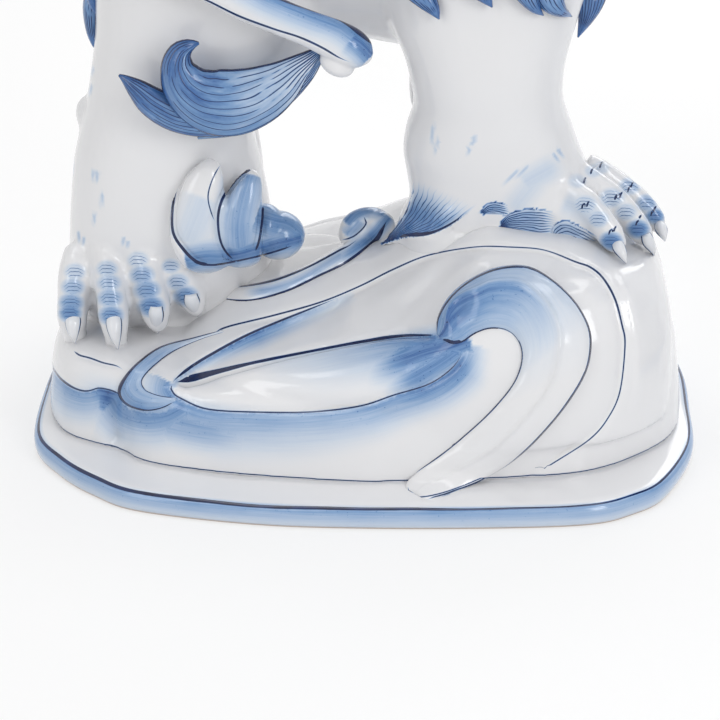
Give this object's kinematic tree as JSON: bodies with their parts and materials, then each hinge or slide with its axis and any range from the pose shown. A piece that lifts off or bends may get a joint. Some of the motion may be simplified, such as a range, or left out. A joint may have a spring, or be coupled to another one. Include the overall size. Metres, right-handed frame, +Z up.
{
  "type": "pair of faience lions",
  "caption": "Mirrored pair of standing guardian lions in blue and white tin-glazed earthenware, each on a wave-carved rock and low plinth.",
  "frame": {"origin": "centre of the pair's footprint on the surface that it stands on", "axes": "+Z up, +X to the right along the pair, -Y towards the viewer; the left lion walks towards +X and the right lion is its mirror image in the plane x = 0"},
  "size_m": [0.89, 0.3, 0.5524],
  "materials": {
    "plinth_glaze": "white tin glaze with a blue band; bare clay foot ring",
    "rock_glaze": "glossy white tin glaze with soft blue wash and dark blue lines",
    "wave_wash": "glossy tin glaze, brushed blue wash and dark blue outline",
    "fur_wash": "glossy tin glaze, stippled blue wash",
    "body_glaze": "glossy white tin glaze with a few brushed blue marks",
    "mane_blue": "glossy tin glaze, locks brushed in two blues",
    "face_glaze": "glossy white tin glaze, blue brushed features",
    "tongue_wash": "glossy tin glaze, pale blue wash",
    "tail_wash": "glossy tin glaze, blue wash along the top edge",
    "tuft_blue": "glossy tin glaze, streaked mid blue with dark blue outline"
  },
  "bodies": {
    "root": {"left_plinth": "plinth_glaze", "left_rock": "rock_glaze", "left_crag": "rock_glaze", "left_crest": "wave_wash", "left_scroll": "wave_wash", "left_petals": "fur_wash", "left_cloud": "wave_wash", "left_near_hind_leg": "body_glaze", "left_far_hind_leg": "body_glaze", "left_near_fore_leg": "body_glaze", "left_far_fore_leg": "body_glaze", "left_haunch": "body_glaze", "left_chest": "body_glaze", "left_bib": "mane_blue", "left_mane": "mane_blue", "left_head": "face_glaze", "left_jaw": "face_glaze", "left_tongue": "tongue_wash", "left_near_ear": "face_glaze", "left_far_ear": "face_glaze", "left_tail": "tail_wash", "left_tuft": "tuft_blue", "right_plinth": "plinth_glaze", "right_rock": "rock_glaze", "right_crag": "rock_glaze", "right_crest": "wave_wash", "right_scroll": "wave_wash", "right_petals": "fur_wash", "right_cloud": "wave_wash", "right_near_hind_leg": "body_glaze", "right_far_hind_leg": "body_glaze", "right_near_fore_leg": "body_glaze", "right_far_fore_leg": "body_glaze", "right_haunch": "body_glaze", "right_chest": "body_glaze", "right_bib": "mane_blue", "right_mane": "mane_blue", "right_head": "face_glaze", "right_jaw": "face_glaze", "right_tongue": "tongue_wash", "right_near_ear": "face_glaze", "right_far_ear": "face_glaze", "right_tail": "tail_wash", "right_tuft": "tuft_blue"}
  },
  "joints": []
}
